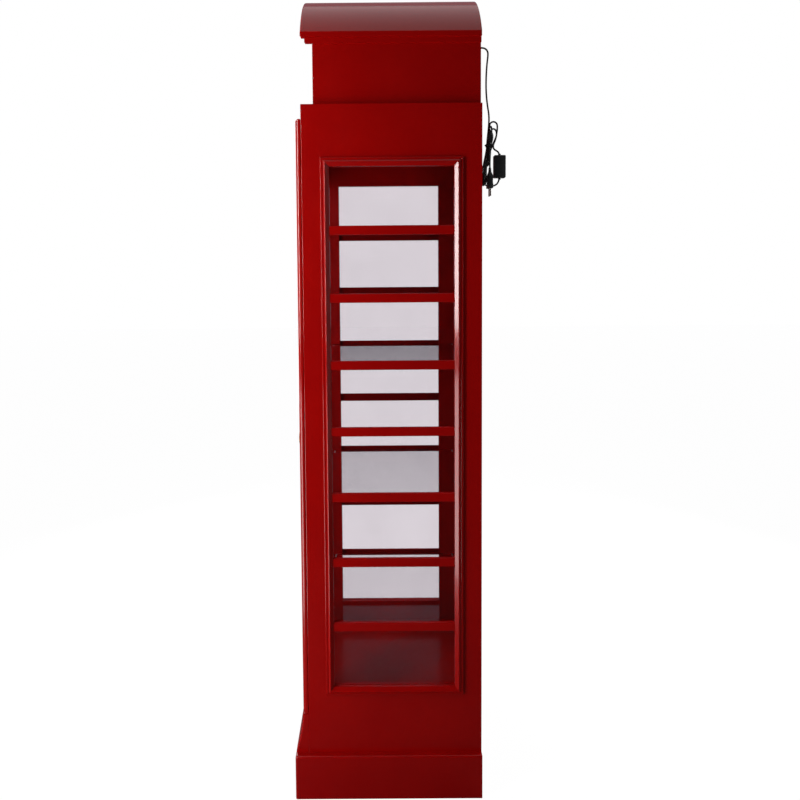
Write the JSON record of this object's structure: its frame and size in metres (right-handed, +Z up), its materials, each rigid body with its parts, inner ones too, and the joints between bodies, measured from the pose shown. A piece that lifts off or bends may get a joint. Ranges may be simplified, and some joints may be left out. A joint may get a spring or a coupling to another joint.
{
  "type": "glazed display cabinet in telephone booth form",
  "caption": "Tall square display cabinet shaped like a red telephone booth: glazed sides and hinged glazed door, glass shelves, plinth, sign frieze, barrel-vault roof and a lamp cord.",
  "frame": {"origin": "on the floor in the middle of the plinth's outline", "axes": "+Z up, -Y is the door's side, +X is to the right of someone facing the door"},
  "size_m": [0.461, 0.5168, 1.976],
  "materials": {
    "lacquer": "satin deep red lacquer on wood board",
    "bare_board": "unpainted fibreboard",
    "bare_wood": "unpainted softwood",
    "clear_glass": "clear polished",
    "opal_acrylic": "opal white, glossy",
    "polished_brass": "polished",
    "nickel_brass": "nickel plated",
    "zinc_steel": "zinc plated",
    "white_metal": "white powder coat",
    "black_plastic": "matt moulded",
    "black_rubber": "matt",
    "black_cord": "matt flexible sheath"
  },
  "bodies": {
    "cabinet": {"back_panel": "lacquer", "back_panel_screws": "zinc_steel", "cable_clips": "black_plastic", "catch_magnet": "black_plastic", "cord_gland": "black_rubber", "cord_hank": "black_cord", "cord_switch_in": "black_cord", "cord_switch_out": "black_cord", "cord_tie": "black_plastic", "cornice_board": "lacquer", "eave_board": "lacquer", "floor_board": "lacquer", "frieze_back": "lacquer", "frieze_front": "lacquer", "frieze_sides": "lacquer", "front_rails": "lacquer", "glass_shelves": "clear_glass", "glazing_bars_left": "lacquer", "glazing_bars_right": "lacquer", "hinge_leaves_case": "polished_brass", "hinge_pins": "polished_brass", "lamp_bezel": "white_metal", "lamp_cable": "black_cord", "lamp_housing": "white_metal", "lamp_lens": "opal_acrylic", "pediment_back": "lacquer", "pediment_front": "lacquer", "plinth_blocks": "bare_wood", "plinth_boards": "lacquer", "plinth_front": "lacquer", "plinth_top": "bare_board", "plug_body": "black_plastic", "plug_pins": "nickel_brass", "power_cord": "black_cord", "roof_ribs": "bare_wood", "roof_skin": "lacquer", "shelf_pins": "zinc_steel", "side_glass_beads": "lacquer", "side_glass_left": "clear_glass", "side_glass_right": "clear_glass", "side_panel_left": "lacquer", "side_panel_right": "lacquer", "sign_panel": "opal_acrylic", "skirt_moulding": "lacquer", "switch_body": "black_plastic", "top_board": "lacquer", "window_moulding_left": "lacquer", "window_moulding_right": "lacquer"},
    "door": {"door_hinge_stile": "lacquer", "door_latch_stile": "lacquer", "door_top_rail": "lacquer", "door_bottom_rail": "lacquer", "door_moulding": "lacquer", "door_glazing_bars": "lacquer", "door_glass": "clear_glass", "door_glass_beads": "lacquer", "door_pull": "polished_brass", "catch_plate": "zinc_steel", "hinge_leaves_door": "polished_brass"},
    "rocker": {"switch_rocker": "black_plastic"}
  },
  "joints": [
    {"name": "door_hinge", "type": "hinge", "parent": "cabinet", "child": "door", "pos_m": [-0.2184, -0.197, 0.928], "axis": [0, 0, -1], "range_deg": [0, 180]},
    {"name": "switch_tilt", "type": "hinge", "parent": "cabinet", "child": "rocker", "pos_m": [0.176, 0.2743, 1.53825], "axis": [0, -1, 0], "range_deg": [0, 14]}
  ]
}
